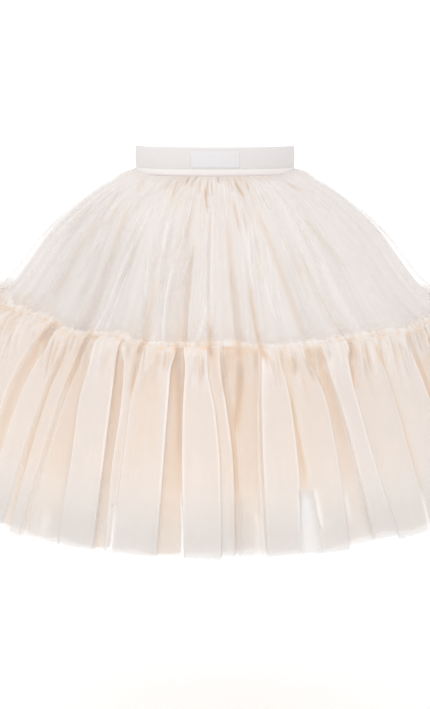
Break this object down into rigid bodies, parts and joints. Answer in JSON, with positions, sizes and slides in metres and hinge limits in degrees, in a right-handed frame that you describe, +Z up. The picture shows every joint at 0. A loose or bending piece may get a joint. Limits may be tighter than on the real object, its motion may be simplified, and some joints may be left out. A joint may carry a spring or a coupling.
{
  "type": "tulle skirt",
  "caption": "Flared two-tier net skirt: flat waistband with a bare patch, gathered upper tier over a smooth lining, and a deep gathered flounce with a crimped heading.",
  "frame": {"origin": "middle of the waist: on the skirt's axis, at half the waistband's height", "axes": "+Z up out of the waist, -Y towards the front, +X towards the skirt's left side as its wearer has it"},
  "size_m": [0.926, 0.7664, 0.5671],
  "materials": {
    "waistband_cloth": "matt ribbed elastic in a fine cover",
    "patch_satin": "smooth woven tape",
    "ivory_net": "fine soft net in several plies",
    "blush_net": "fine soft net in several plies, raw-cut hem",
    "lining_cloth": "plain light woven cloth"
  },
  "bodies": {
    "root": {"waistband": "waistband_cloth", "waist_patch": "patch_satin", "upper_tier_front": "ivory_net", "upper_tier_back": "ivory_net", "flounce_front": "blush_net", "flounce_back": "blush_net", "lining_front": "lining_cloth", "lining_back": "lining_cloth"}
  },
  "joints": []
}
